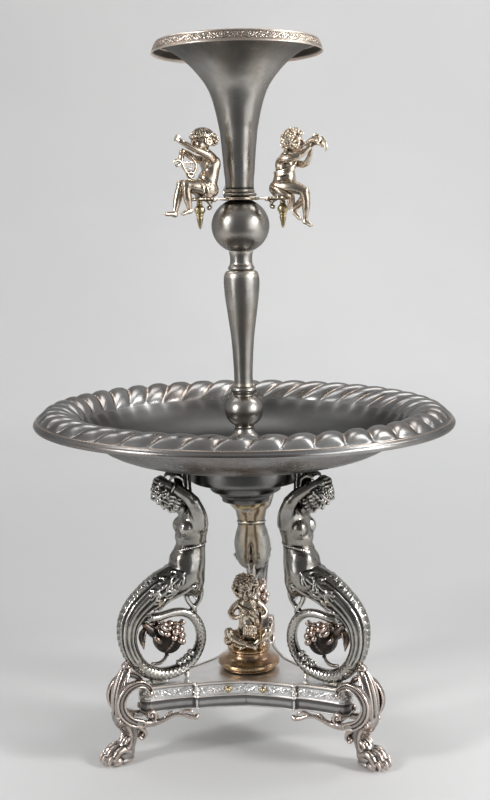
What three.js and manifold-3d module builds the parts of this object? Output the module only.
// Table centerpiece: three-cornered base on lion-paw feet, three mermaid
// supports, gadrooned dish, turned stem, child figures on a gallery, and a
// trumpet vase that lifts out. Millimetres, +Z up, origin under the middle.
import * as THREE from 'three';
import { mergeVertices } from 'three/addons/utils/BufferGeometryUtils.js';
import Module from 'manifold-3d';

// ---- driving dimensions -------------------------------------------------
const GAP = 0.3;                 // clearance between touching pieces
const FOOT_AZ = [210, 330, 90];  // directions of the feet and mermaids
const GALLERY_AZ = [218, 338, 98]; // directions of the gallery's arms
const PLATE_TOP = 64, PLATE_BOTTOM = 41, FRIEZE_BOTTOM = 52;
const DISH_FLOOR = 255, SEAT_FLOOR = 254.7, DISH_UNDER = 250.3;
const ROD_R = 3.7, ROD_HOLE_R = 4.1;
const SPIGOT_R = 8, SOCKET_R = 8.4, SOCKET_FLOOR = 440;
const BALL_R = 24.4, BALL_H = 22.9, BALL_Z = 449.5;
const KNOP_R = 16.3, KNOP_H = 14.8, KNOP_Z = 292.4;
const STUD_R = 2.2, STUD_RHO = 86;
const FINIAL_RHO = 39.6;
const VASE_TOP = 598.6, WALL = 1.4;

const wasm = await Module();
wasm.setup();

// ---- colours ------------------------------------------------------------
const metal = (color, roughness = 0.35, metalness = 1) =>
  new THREE.MeshStandardMaterial({ color, roughness, metalness });
const PEWTER = 0x6b6a66, SILVER = 0x9a9892, WARM = 0xa8958a, BRASS = 0xb08a4a,
  COPPER = 0x9c6a4c, FIGURE = 0xa39484, STEEL = 0x77767a;

// ---- solid helpers ------------------------------------------------------
function toSolid(geometry) {
  const g = geometry.clone();
  g.deleteAttribute('normal');
  g.deleteAttribute('uv');
  const m = mergeVertices(g, 1e-4);
  return new wasm.Manifold(new wasm.Mesh({
    numProp: 3,
    vertProperties: new Float32Array(m.attributes.position.array),
    triVerts: new Uint32Array(m.index.array),
  }));
}
function fromSolid(solid) {
  const mesh = solid.getMesh();
  const g = new THREE.BufferGeometry();
  g.setAttribute('position', new THREE.BufferAttribute(new Float32Array(mesh.vertProperties), 3));
  g.setIndex(new THREE.BufferAttribute(new Uint32Array(mesh.triVerts), 1));
  g.computeVertexNormals();
  return g;
}
function join(adds, cuts = []) {
  let s = toSolid(adds[0]);
  for (const a of adds.slice(1)) s = s.add(toSolid(a));
  for (const c of cuts) s = s.subtract(toSolid(c));
  return fromSolid(s);
}
// turned solid: pairs of radius and height, closed on the axis or on itself
function turned(pairs, segments = 24) {
  const pts = pairs.map(([r, z]) => new THREE.Vector2(r, z));
  if (pairs[0][0] > 0) pts.push(pts[0].clone());
  const g = new THREE.LatheGeometry(pts, segments);
  g.rotateX(Math.PI / 2);
  return g;
}
// the lathe's winding follows the profile's direction, so make it face out
function outward(g) {
  const p = g.attributes.position, i = g.index;
  let v = 0;
  const a = new THREE.Vector3(), b = new THREE.Vector3(), c = new THREE.Vector3();
  for (let k = 0; k < i.count; k += 3) {
    a.fromBufferAttribute(p, i.getX(k));
    b.fromBufferAttribute(p, i.getX(k + 1));
    c.fromBufferAttribute(p, i.getX(k + 2));
    v += a.dot(b.cross(c));
  }
  if (v < 0) {
    for (let k = 0; k < i.count; k += 3) {
      const t = i.getX(k + 1);
      i.setX(k + 1, i.getX(k + 2));
      i.setX(k + 2, t);
    }
  }
  return g;
}
const lathe = (pairs, segments) => outward(turned(pairs, segments));
function ball(x, y, z, rx, ry = rx, rz = rx, w = 8, h = 6) {
  const g = new THREE.SphereGeometry(1, w, h);
  g.rotateX(Math.PI / 2);
  g.scale(rx, ry, rz);
  g.translate(x, y, z);
  return g;
}
function block(x0, x1, y0, y1, z0, z1) {
  const g = new THREE.BoxGeometry(x1 - x0, y1 - y0, z1 - z0);
  g.translate((x0 + x1) / 2, (y0 + y1) / 2, (z0 + z1) / 2);
  return g;
}
function post(x, y, z0, z1, r, n = 12) {
  const g = new THREE.CylinderGeometry(r, r, z1 - z0, n);
  g.rotateX(Math.PI / 2);
  g.translate(x, y, (z0 + z1) / 2);
  return g;
}
// a cylinder bent along a smooth curve, its radius following the curve:
// stations are [x, y, z, radius in the plane, radius across]
function limb(stations, { radial = 6, steps = 0 } = {}) {
  const n = stations.length - 1;
  const count = steps || n * 2;
  const curve = new THREE.CatmullRomCurve3(
    stations.map(s => new THREE.Vector3(s[0], s[1], s[2])), false, 'centripetal');
  const g = new THREE.CylinderGeometry(1, 1, 1, radial, count, false);
  const pos = g.attributes.position;
  const frames = [];
  let normal = null;
  for (let k = 0; k <= count; k++) {
    const t = k / count;
    const point = curve.getPoint(t), tangent = curve.getTangent(t).normalize();
    if (!normal) {
      normal = tangent.clone().cross(new THREE.Vector3(0, 1, 0));
      if (normal.length() < 0.2) normal = tangent.clone().cross(new THREE.Vector3(1, 0, 0));
    }
    normal.addScaledVector(tangent, -normal.dot(tangent)).normalize();
    const across = normal.clone().cross(tangent).normalize();
    const f = t * n, i = Math.min(n - 1, Math.floor(f)), u = f - i;
    const ra = stations[i][3] * (1 - u) + stations[i + 1][3] * u;
    const rb = (stations[i][4] ?? stations[i][3]) * (1 - u)
      + (stations[i + 1][4] ?? stations[i + 1][3]) * u;
    frames.push([point, normal.clone(), across, ra, rb]);
  }
  for (let v = 0; v < pos.count; v++) {
    const k = Math.round((pos.getY(v) + 0.5) * count);
    const [point, nrm, across, ra, rb] = frames[k];
    const out = point.clone()
      .addScaledVector(nrm, pos.getX(v) * ra)
      .addScaledVector(across, pos.getZ(v) * rb);
    pos.setXYZ(v, out.x, out.y, out.z);
  }
  return outward(g);
}
const mirrorY = (stations) => stations.map(([x, y, ...r]) => [x, -y, ...r]);
const spin = (g, degrees) => g.clone().rotateZ(THREE.MathUtils.degToRad(degrees));

// ---- assembly -----------------------------------------------------------
const group = new THREE.Group();
function add(name, geometry, material, azimuth = 0, parent = group) {
  const mesh = new THREE.Mesh(geometry, material);
  mesh.name = name;
  mesh.rotation.z = THREE.MathUtils.degToRad(azimuth);
  parent.add(mesh);
  return mesh;
}

// base plate: one third of the outline, drawn round the arm on +X
function plateOutline(inset = 0) {
  const side = [];
  for (const s of [-1, 1]) {
    // from the middle of the side, out to the step, then along the arm
    const half = [[18.85, 32.65], [31, 27.6], [45, 22.6], [59.5, 19.2],
      [61.6, 16.4], [76, 12.2], [93, 9.3]];
    side.push(half.map(([x, y]) => [x, s * y]));
  }
  const tip = [];
  for (let k = 1; k < 4; k++) {
    const a = -Math.PI / 2 + k * Math.PI / 4;
    tip.push([95 + 8.6 * Math.cos(a), 9.2 * Math.sin(a)]);
  }
  const third = [...side[0], ...tip, ...side[1].slice(1).reverse()];
  const pts = [];
  for (const az of [90, 210, 330]) {
    const a = THREE.MathUtils.degToRad(az);
    for (const [x, y] of third) {
      pts.push([x * Math.cos(a) - y * Math.sin(a), x * Math.sin(a) + y * Math.cos(a)]);
    }
  }
  if (!inset) return pts;
  // move every point inwards along its normal
  return pts.map((p, i) => {
    const a = pts[(i + pts.length - 1) % pts.length], b = pts[(i + 1) % pts.length];
    const dx = b[0] - a[0], dy = b[1] - a[1], l = Math.hypot(dx, dy);
    return [p[0] - dy / l * inset, p[1] + dx / l * inset];
  });
}
function slab(points, z0, z1) {
  const shape = new THREE.Shape(points.map(([x, y]) => new THREE.Vector2(x, y)));
  const g = new THREE.ExtrudeGeometry(shape, { depth: z1 - z0, bevelEnabled: false, steps: 1 });
  g.translate(0, 0, z0);
  return g;
}
const plateHoles = FOOT_AZ.map(az => spin(post(STUD_RHO, 0, 40, 70, STUD_R + 0.4, 8), az));
add('base_plate', join(
  [slab(plateOutline(0), FRIEZE_BOTTOM, PLATE_TOP), slab(plateOutline(1.2), PLATE_BOTTOM, FRIEZE_BOTTOM + 0.5)],
  [slab(plateOutline(3.4), PLATE_BOTTOM - 1, PLATE_TOP - 2.6), ...plateHoles, post(0, 0, 40, 70, 3.1, 8)],
), metal(SILVER, 0.3));

// domed studs on the frieze, two on each side
for (let i = 0; i < 3; i++) {
  for (const [k, s] of [[0, -1], [1, 1]]) {
    // in the frame of the side that faces +X
    const g = ball(0, 0, 0, 1.9, 2.4, 2.4, 6, 4);
    g.translate(42, s * 14.8, 57.6);
    add(`frieze_stud_${i * 2 + k + 1}`, g, metal(BRASS, 0.3), [270, 30, 150][i]);
  }
}

// feet: one casting each, drawn with the foot on +X
function footGeometry() {
  const ring = (s) => [
    [96.6, 12.5, 59.4, 3, 2.6], [99.5, 12.5, 64.5, 2.8, 2.6], [103.5, 12.4, 69, 3, 2.6], [109.5, 12.4, 71, 3.2, 2.6],
    [117, 12.4, 68.3, 3.4, 2.6], [123, 12.4, 61.5, 3.8, 2.6], [124.6, 12.4, 53.5, 4, 2.6],
    [121.5, 12.4, 44.5, 4, 2.6], [115, 12.4, 38, 3.8, 2.6], [106, 12.4, 34.8, 3.4, 2.6],
    [97, 12, 34.6, 3, 2.6], [87.5, 13, 36, 2.6, 2.6], [80, 14.6, 37.6, 2.2, 2.8],
    [72, 17, 37.8, 2, 3], [66, 19, 36, 2, 2.8], [62.5, 20, 33.6, 2, 2.4],
  ].map(([x, y, z, a, b]) => [x, s * y, z, a, b]);
  const adds = [];
  for (const s of [1, -1]) {
    adds.push(limb(ring(s), { radial: 4, steps: 15 }));
    adds.push(limb([[99.2, s * 12.2, 34.5, 2.4, 2.2], [98.8, s * 12.2, 43.4, 3, 2.4]], { radial: 4, steps: 1 }));
  }
  // outer leaf between the rings, from the clip at the tail to the knob
  adds.push(limb([
    [115.8, 0, 84, 1.4, 3], [119.5, 0, 79.5, 1.8, 7], [124.5, 0, 71.5, 2.2, 11],
    [127.6, 0, 61.5, 2.4, 11.5], [128, 0, 51, 2.6, 11], [125.5, 0, 40.5, 3.2, 9],
    [123.5, 0, 34, 4, 5]], { radial: 5, steps: 6 }));
  // leg, inner volute and paw
  adds.push(block(112.5, 123, -11.5, 11.5, 35.5, 41));
  adds.push(limb([[121, 0, 42, 7, 10], [114, 0, 33, 7.5, 8.5], [111.5, 0, 24, 6.6, 7],
    [114.5, 0, 15, 6, 7], [119, 0, 8, 6.5, 8]], { radial: 6, steps: 4 }));
  adds.push(limb([[111, 0, 31, 4, 5.5], [105.5, 0, 26.5, 4.2, 5], [101.8, 0, 20.5, 3.6, 4.4]], { radial: 4, steps: 2 }));
  adds.push(ball(125, 0, 8, 11.5, 9.4, 9, 7, 5));
  for (const [y, x] of [[-6.6, 133], [-2.3, 136.6], [2.3, 136.6], [6.6, 133]]) {
    adds.push(limb([[x - 8, y * 0.9, 10.6, 3.4, 2.8], [x + 2.6, y, 9, 3.6, 2.8], [x + 4, y, -1, 2.6, 2.4]],
      { radial: 4, steps: 2 }));
  }
  adds.push(block(114, 136, -7.6, 7.6, -2, 5));
  // saddle under the plate's arm, and the lug that the stud passes through
  adds.push(block(91, 100, -12, 12, 36, 40.4));
  adds.push(block(91, 95.4, -3.4, 3.4, 36, 61));
  adds.push(block(79.5, 91.5, -4.6, 4.6, 57.4, 61));
  const cuts = [block(90, 160, -40, 40, -12, 0), post(STUD_RHO, 0, 50, 70, STUD_R + 0.4, 8)];
  return join(adds, cuts);
}
const foot = footGeometry();
FOOT_AZ.forEach((az, i) => add(`foot_${i + 1}`, foot.clone(), metal(WARM, 0.35), az));

// a six-sided nut with a round hole
function nut(x, z0, z1, across, hole) {
  return join([post(x, 0, z0, z1, across / Math.sqrt(3), 6)], [post(x, 0, z0 - 1, z1 + 1, hole, 8)]);
}
FOOT_AZ.forEach((az, i) => add(`foot_nut_${i + 1}`, nut(STUD_RHO, 52.6, 57, 8.5, STUD_R + 0.4),
  metal(STEEL, 0.5), az));

// mermaids: one casting each, drawn facing +X
function mermaidGeometry() {
  const adds = [];
  // tail: hips, scale-covered bend, ring that closes over itself
  adds.push(limb([
    [50, 0, 156, 12.5, 14.5], [60, 0, 153.5, 14, 16], [70.5, 0, 152.5, 13.8, 15.6], [82.2, 0, 147, 13.4, 14.4],
    [93, 0, 140, 12.8, 13], [104, 0, 131.6, 11.2, 11.6], [110.6, 0, 120.8, 9.5, 10],
    [112.6, 0, 107.5, 7.8, 8.8], [110, 0, 95.5, 7.2, 8], [104.6, 0, 84.8, 6.5, 7.2],
    [96, 0, 76, 6, 6.6], [84.6, 0, 71.2, 5.7, 6.2], [72, 0, 70.9, 5.4, 5.8],
    [60, 0, 75, 4.9, 5.4], [50.6, 0, 83.6, 4.6, 5], [45.8, 0, 95, 4.5, 4.8],
    [46.7, 0, 106.5, 4.4, 4.6], [51.8, 0, 116.4, 4.2, 4.2], [60, 0, 122, 4, 4],
    [70, 0, 123.2, 3.8, 3.8], [79, 0, 121, 3.2, 3.2], [86, 0, 116.2, 2.6, 2.6],
  ], { radial: 6, steps: 21 }));
  adds.push(ball(47, 0, 152, 8.8, 15, 10.5, 6, 5));
  // torso
  adds.push(limb([
    [53, 0, 152, 14, 15.5], [55, 0, 166, 15.6, 15.6], [52.4, 0, 180, 13.6, 13], [51.6, 0, 192, 13.8, 14.6],
    [48.8, 0, 202, 12.4, 16], [50, 0, 209, 9, 14]], { radial: 7, steps: 5 }));
  for (const s of [1, -1]) {
    adds.push(ball(62.5, s * 7.6, 196.4, 8, 7.2, 8, 5, 4));
    adds.push(limb([[47, s * 13, 206, 6, 5.4], [50, s * 17.5, 217, 5.6, 5.4], [57.5, s * 17, 233, 5.4, 5],
      [71, s * 11.5, 239, 4.4, 4.2], [83.5, s * 4, 240.4, 3.4, 4]], { radial: 4, steps: 4 }));
  }
  adds.push(limb([[81, 0, 240, 3.4, 8], [90, 0, 238, 2.8, 7], [93, 0, 232.5, 2.2, 6]], { radial: 4, steps: 2 }));
  adds.push(limb([[51, 0, 206, 6.4, 6.4], [62, 0, 216, 6, 6]], { radial: 5, steps: 1 }));
  adds.push(limb([[66, 0, 214, 8, 8], [73, 0, 221.5, 12.4, 11.6], [83, 0, 229.5, 10, 10.5], [88, 0, 233, 5, 7]],
    { radial: 7, steps: 4 }));
  adds.push(block(53, 66, -17, 17, 233, 240));
  adds.push(limb([[59.5, 0, 234, 8, 12], [59.5, 0, 243, 7, 8], [59.5, 0, DISH_UNDER - GAP, 8, 8.5]],
    { radial: 6, steps: 1 }));
  // buttock scroll and its ball
  adds.push(limb([[44, 0, 143, 2.8, 3.2], [45.2, 0, 134, 2.6, 3], [51, 0, 124, 2.2, 2.6], [56, 0, 119, 2, 2.2]],
    { radial: 4, steps: 2 }));
  // pad on the plate, its stud and the peg
  adds.push(block(78.6, 92.6, -4.6, 4.6, PLATE_TOP + GAP, 69));
  adds.push(post(STUD_RHO, 0, 50.5, 66, STUD_R, 8));
  adds.push(block(58.2, 61.4, -1.8, 1.8, PLATE_TOP + GAP, 74));
  // berries inside the ring
  adds.push(limb([[54, 0, 86.5, 3, 3.4], [64, 0, 79.4, 3.6, 3.4]], { radial: 4, steps: 1 }));
  return join(adds);
}
const mermaid = mermaidGeometry();
FOOT_AZ.forEach((az, i) => add(`mermaid_${i + 1}`, mermaid.clone(), metal(FIGURE, 0.35), az));

// flower sprays: calyx cup, berries, bud and tendril
function flowerGeometry() {
  return join([
    ball(76, 0, 101.5, 13, 12, 12, 7, 5),
    ball(69, 0, 107.5, 9.5, 10, 9, 6, 4),
    limb([[80, 0, 104, 3.4, 3.4], [88.5, 0, 109.5, 3.4, 3.6], [95.6, 0, 112, 2.6, 3]], { radial: 4, steps: 1 }),
    limb([[90, 0, 110, 2.2, 2.2], [96.5, 0, 104.5, 3, 3], [98.2, 0, 97, 2, 2], [97.6, 0, 90, 0.8, 0.8]],
      { radial: 4, steps: 3 }),
    limb([[78, 0, 92, 2, 2], [79.5, 0, 85, 1.6, 1.8], [84, 0, 79.8, 1.4, 1.6]], { radial: 4, steps: 2 }),
  ]);
}
const flower = flowerGeometry();
FOOT_AZ.forEach((az, i) => add(`flower_${i + 1}`, flower.clone(), metal(WARM, 0.4), az));

// centre: plinth, seated child and its staff, nut underneath
const PLINTH_TOP = 82.4;
add('centre_plinth', lathe([[3.1, PLATE_TOP + GAP], [24, PLATE_TOP + GAP], [24.4, 66.6], [27.2, 68], [27.2, 71],
  [20.5, 74], [17.6, 77.6], [18.7, 81], [18.7, PLINTH_TOP], [3.1, PLINTH_TOP]], 20), metal(COPPER, 0.3));
function childGeometry() {
  const z = PLINTH_TOP + GAP;
  const adds = [
    block(-9, 9, -9, 9, z, z + 4),
    post(0, 0, 50, z + 3, 2.5, 8),
    limb([[0, 3, z + 2, 9, 11], [0, 3, z + 14, 8.5, 10.5], [0, 1, z + 27, 8.6, 10.5], [0, 1, z + 38, 7.6, 10], [0, 0, z + 44, 5, 6]],
      { radial: 6, steps: 3 }),
    ball(0, -1, z + 54, 11.4, 11, 12, 7, 5),
  ];
  for (const s of [1, -1]) {
    adds.push(limb([[s * 5, 2, z + 6, 6, 6], [s * 13, -3, z + 7.5, 5.6, 5.6], [s * 17, -7, z + 9, 4.8, 4.8],
      [s * 9, -12, z + 5, 3.8, 3.8], [s * 1.5, -13.5, z + 3.6, 3.2, 3.2]], { radial: 4, steps: 4 }));
    adds.push(limb([[s * 9, 1, z + 38, 4.4, 4.4], [s * 16, 0, z + 29, 4, 4], [s * 12, -7, z + 24, 3.4, 3.4],
      [s * 5, -10.5, z + 29, 3, 3]], { radial: 4, steps: 3 }));
  }
  return join(adds, [post(10.5, -11.5, z - 1, z + 60, 1.9, 6)]);
}
add('centre_child', childGeometry(), metal(FIGURE, 0.4), 5);
add('child_staff', post(10.5, -11.5, PLINTH_TOP + GAP, PLINTH_TOP + 38, 1.3, 6), metal(COPPER, 0.4), 5);
add('centre_nut', join([post(0, 0, 56.4, 61, 5, 6)], [post(0, 0, 55, 62, 2.9, 8)]), metal(STEEL, 0.5));

// boss under the dish, and the brass nut on the rod
add('dish_boss', lathe([[ROD_HOLE_R, 213.5], [20.8, 213.5], [20.8, 217], [29, 222.6],
  [34, 231.2], [47.4, 232.4], [48.4, 235], [48.4, 245], [46, DISH_UNDER - GAP], [ROD_HOLE_R, DISH_UNDER - GAP]], 24),
  metal(PEWTER, 0.35));
add('dish_nut', lathe([[ROD_HOLE_R, 205.6], [7, 205.6], [8, 207], [12, 208], [12, 213.2], [ROD_HOLE_R, 213.2]], 16),
  metal(BRASS, 0.35));
add('tie_rod', post(0, 0, 203, 436, ROD_R, 12), metal(STEEL, 0.5));

// dish: floor with a seat for the stem foot, rising well, gadroon band as a
// plain roll, slanting rim
add('dish', lathe([
  [ROD_HOLE_R, SEAT_FLOOR], [17.3, SEAT_FLOOR], [17.3, DISH_FLOOR], [90, DISH_FLOOR], [100, 256.6], [110, 260.2],
  [120, 265.4], [129, 272.6], [135, 279.4], [138.6, 284], [146, 290.9], [153, 295.6], [160, 297.4], [167, 295.8],
  [172.5, 291.9], [175.6, 290], [177.4, 289.3], [179.4, 285.4], [179, 283.4], [176.8, 282.8], [172, 286.2],
  [166, 291.2], [160, 293.2], [154, 291.6], [148, 288.2], [141, 282], [136.5, 276.4], [130.4, 269.4],
  [121, 262.2], [110.6, 257.2], [100, 253.7], [90, 252.3], [72, 251.9], [71, DISH_UNDER], [ROD_HOLE_R, DISH_UNDER]],
  36), metal(PEWTER, 0.32));

// stem, from the dish up
add('stem_foot', lathe([[ROD_HOLE_R, SEAT_FLOOR + GAP], [17, SEAT_FLOOR + GAP], [17, 257.4], [13.2, 260.5],
  [12.6, 270], [9.4, 274], [8.2, 279], [ROD_HOLE_R, 279]], 18), metal(PEWTER, 0.3));
function cutBall(R, H, Z, r0, r1, n = 7) {
  const a0 = -Math.acos(r0 / R), a1 = Math.acos(r1 / R), pts = [];
  for (let k = 0; k <= n; k++) {
    const a = a0 + (a1 - a0) * k / n;
    pts.push([R * Math.cos(a), Z + H * Math.sin(a)]);
  }
  return pts;
}
const knop = cutBall(KNOP_R, KNOP_H, KNOP_Z, 8.4, 8.4);
add('lower_ball', lathe([[ROD_HOLE_R, knop[0][1]], ...knop, [ROD_HOLE_R, knop.at(-1)[1]]], 20), metal(PEWTER, 0.25));
add('collar_ring', lathe([[ROD_HOLE_R, 305.5], [8.2, 305.5], [8.2, 307.4], [11, 309.4], [11, 312],
  [8.4, 313.3], [ROD_HOLE_R, 313.3]], 18), metal(PEWTER, 0.3));
add('baluster', lathe([[ROD_HOLE_R, 313.6], [8, 313.6], [8.1, 327.3], [8.9, 344.5], [10.5, 361.6],
  [12.7, 378.6], [14.8, 395.6], [15.2, 402.3], [14.6, 408.2], [12.4, 412.1], [ROD_HOLE_R, 412.1]], 20), metal(PEWTER, 0.3));
add('baluster_ring', lathe([[ROD_HOLE_R, 412.4], [10.2, 412.4], [11.4, 413.6], [11.4, 415], [10.2, 416.6],
  [ROD_HOLE_R, 416.6]], 18), metal(PEWTER, 0.3));
const bigBall = cutBall(BALL_R, BALL_H, BALL_Z, 9.9, 10.2, 9);
const ballLow = bigBall[0][1], ballHigh = bigBall.at(-1)[1];
add('ball_neck', lathe([[ROD_HOLE_R, 416.9], [9.6, 416.9], [9.4, 421], [9.8, ballLow - GAP],
  [ROD_HOLE_R, ballLow - GAP]], 16), metal(PEWTER, 0.3));
add('upper_ball', lathe([[0, 436.4], [ROD_HOLE_R, 436.4], [ROD_HOLE_R, ballLow], ...bigBall,
  [SOCKET_R, ballHigh], [SOCKET_R, SOCKET_FLOOR], [0, SOCKET_FLOOR]], 20), metal(PEWTER, 0.25));

// gallery: hub ring, three arms with scroll brackets
const GAL_LOW = ballHigh + GAP, GAL_HIGH = GAL_LOW + 2.4;
function galleryGeometry() {
  const adds = [];
  const hub = lathe([[SPIGOT_R + 0.5, GAL_LOW], [15.5, GAL_LOW], [16.5, GAL_LOW + 1.2], [15.5, GAL_HIGH],
    [SPIGOT_R + 0.5, GAL_HIGH]], 20);
  adds.push(hub);
  for (const az of GALLERY_AZ) {
    const arm = new THREE.Shape();
    arm.moveTo(13, -4);
    arm.lineTo(27, -2.6);
    arm.lineTo(36, -7.2);
    arm.lineTo(47, -6.4);
    arm.lineTo(47, 6.4);
    arm.lineTo(36, 7.2);
    arm.lineTo(27, 2.6);
    arm.lineTo(13, 4);
    const g = new THREE.ExtrudeGeometry(arm, { depth: 1.8, bevelEnabled: false });
    g.translate(0, 0, GAL_LOW + 0.3);
    adds.push(spin(g, az));
    adds.push(spin(limb([[33, 0, GAL_LOW + 1, 1.4, 2], [29.6, 0, GAL_LOW - 1.8, 1.5, 2.2], [28.4, 0, GAL_LOW - 5, 1.4, 2],
      [30.4, 0, GAL_LOW - 7, 1.2, 1.8]], { radial: 4, steps: 3 }), az));
  }
  return join(adds);
}
const gallery = new THREE.Group();
group.add(gallery);
add('gallery', galleryGeometry(), metal(SILVER, 0.35), 0, gallery);
const finial = lathe([[0, 447.2], [0.9, 448.4], [2.6, 455.6], [1.6, 457.6], [3.8, 459.8], [4.3, 463.4],
  [1.8, 466], [1.8, GAL_LOW], [0, GAL_LOW]], 8);
finial.translate(FINIAL_RHO, 0, 0);
GALLERY_AZ.forEach((az, i) => add(`drop_finial_${i + 1}`, finial.clone(), metal(BRASS, 0.35), az, gallery));

// child figures on the gallery, each drawn facing out along +X
const SEAT = GAL_LOW + 2.1 + GAP;
function sitter(head, armL, armR, lean = 0) {
  const adds = [
    block(31, 43.5, -6, 6, SEAT, SEAT + 3),
    limb([[34 + lean, 0, SEAT + 5.5, 9, 9.5], [29 + lean, 0, SEAT + 14, 8.4, 8.8], [27.6 + lean, 0, SEAT + 25, 7.4, 8.6],
      [31 + lean, 0, SEAT + 33, 5.8, 7.2]], { radial: 6, steps: 3 }),
    ball(...head, 9.4, 8.6, 9.2, 7, 5),
    limb([[31 + lean, 0, SEAT + 31, 3.6, 3.6], [head[0] - 2, head[1], head[2] - 4, 3.4, 3.4]], { radial: 4, steps: 1 }),
    limb([...armL], { radial: 4, steps: 3 }),
    limb([...armR], { radial: 4, steps: 3 }),
  ];
  for (const [s, foot] of [[1, [62, 2.4]], [-1, [68, -2.4]]]) {
    adds.push(limb([[36, s * 4.6, SEAT + 6.2, 5.4, 5], [47, s * 5.4, SEAT + 7.8, 5, 4.8], [57, s * 5, SEAT + 7, 4, 4],
      [60, s * 4, SEAT - 1, 3.4, 3.4], [foot[0], foot[1], SEAT - 12.5, 2.4, 2.4], [foot[0] + 5, foot[1], SEAT - 15, 1.8, 2]],
    { radial: 4, steps: 5 }));
  }
  return adds;
}
const lyre = () => [
  limb([[52, 1, SEAT + 8, 3, 3.6], [53.5, 1, SEAT + 17, 4.6, 5], [51.5, 0, SEAT + 26, 3, 3.4]], { radial: 4, steps: 2 }),
  limb([[54, 0, SEAT + 20, 1.6, 1.6], [60.5, 0, SEAT + 18, 2, 2.4]], { radial: 4, steps: 1 }),
];
const horn = () => [
  limb([[57, 0, SEAT + 41, 2.6, 2.6], [64, 0, SEAT + 46, 2.4, 3], [72, 0, SEAT + 46.5, 2, 3.2],
    [79, 0, SEAT + 40, 1.2, 1.8], [81, 0, SEAT + 33.6, 0.8, 1]], { radial: 4, steps: 4 }),
];
const pose1 = () => join([...sitter([37, 0, 519],
  [[28, 7, SEAT + 28, 4, 4], [40, 8.4, SEAT + 33, 3.8, 3.8], [50, 6, SEAT + 38, 3, 3], [56.5, 3, SEAT + 43.5, 2.6, 2.6]],
  [[28, -7, SEAT + 28, 4, 4], [40, -8, SEAT + 22, 3.6, 3.6], [50, -4, SEAT + 17, 2.8, 2.8]]), ...lyre()]);
const pose2 = () => join([...sitter([46.5, 0, 514.5],
  [[33, 7, SEAT + 28, 4, 4], [45, 7.6, SEAT + 27, 3.8, 3.8], [54, 4, SEAT + 33, 3, 3], [60.5, 1, SEAT + 41, 2.6, 2.6]],
  [[33, -7, SEAT + 28, 4, 4], [44, -8, SEAT + 26.6, 3.8, 3.8], [53, -4, SEAT + 32, 3, 3], [60, -1, SEAT + 41, 2.6, 2.6]], 4.6),
  ...horn()]);
const sitters = [pose1(), pose2(), pose1()];
GALLERY_AZ.forEach((az, i) => add(`gallery_child_${i + 1}`, sitters[i], metal(FIGURE, 0.35), az, gallery));

// vase: spigot with its flange, trumpet body, lip band
const FLANGE_LOW = GAL_HIGH + GAP;
const vase = new THREE.Group();
group.add(vase);
add('vase_spigot', lathe([[0, SOCKET_FLOOR + GAP], [7.2, SOCKET_FLOOR + GAP], [SPIGOT_R, 442], [SPIGOT_R, FLANGE_LOW],
  [13.6, FLANGE_LOW], [14.2, FLANGE_LOW + 1.2], [13.4, 476.8], [0, 476.8]], 18), metal(PEWTER, 0.3), 0, vase);
const flare = [[12.1, 484], [12.95, 495.6], [14.2, 512], [15.8, 528.3], [19.9, 547.7],
  [25.2, 562.3], [35.9, 576.8], [42, 583.4], [50, 589.6], [65.6, 597.4]];
const inner = flare.slice(1).map(([r, z], i, all) => {
  const [r0, z0] = i ? all[i - 1] : flare[0], [r1, z1] = all[Math.min(i + 1, all.length - 1)];
  const l = Math.hypot(r1 - r0, z1 - z0);
  return [r - (z1 - z0) / l * WALL, z + (r1 - r0) / l * WALL];
});
add('trumpet_vase', lathe([[0, 477.1], [12, 477.1], [12.8, 478.7], [12.2, 480], ...flare, [66, VASE_TOP],
  ...inner.reverse(), [10.8, 488.4], [9, 486], [0, 485.8]], 24), metal(PEWTER, 0.3), 0, vase);
add('lip_band', lathe([[66.4, 597.6], [66.4, 599.2], [67.6, 599.6], [69.4, 597.2], [71.3, 590.8], [70.3, 590.2],
  [68, 595.4]], 36), metal(WARM, 0.45), 0, vase);

export default group;
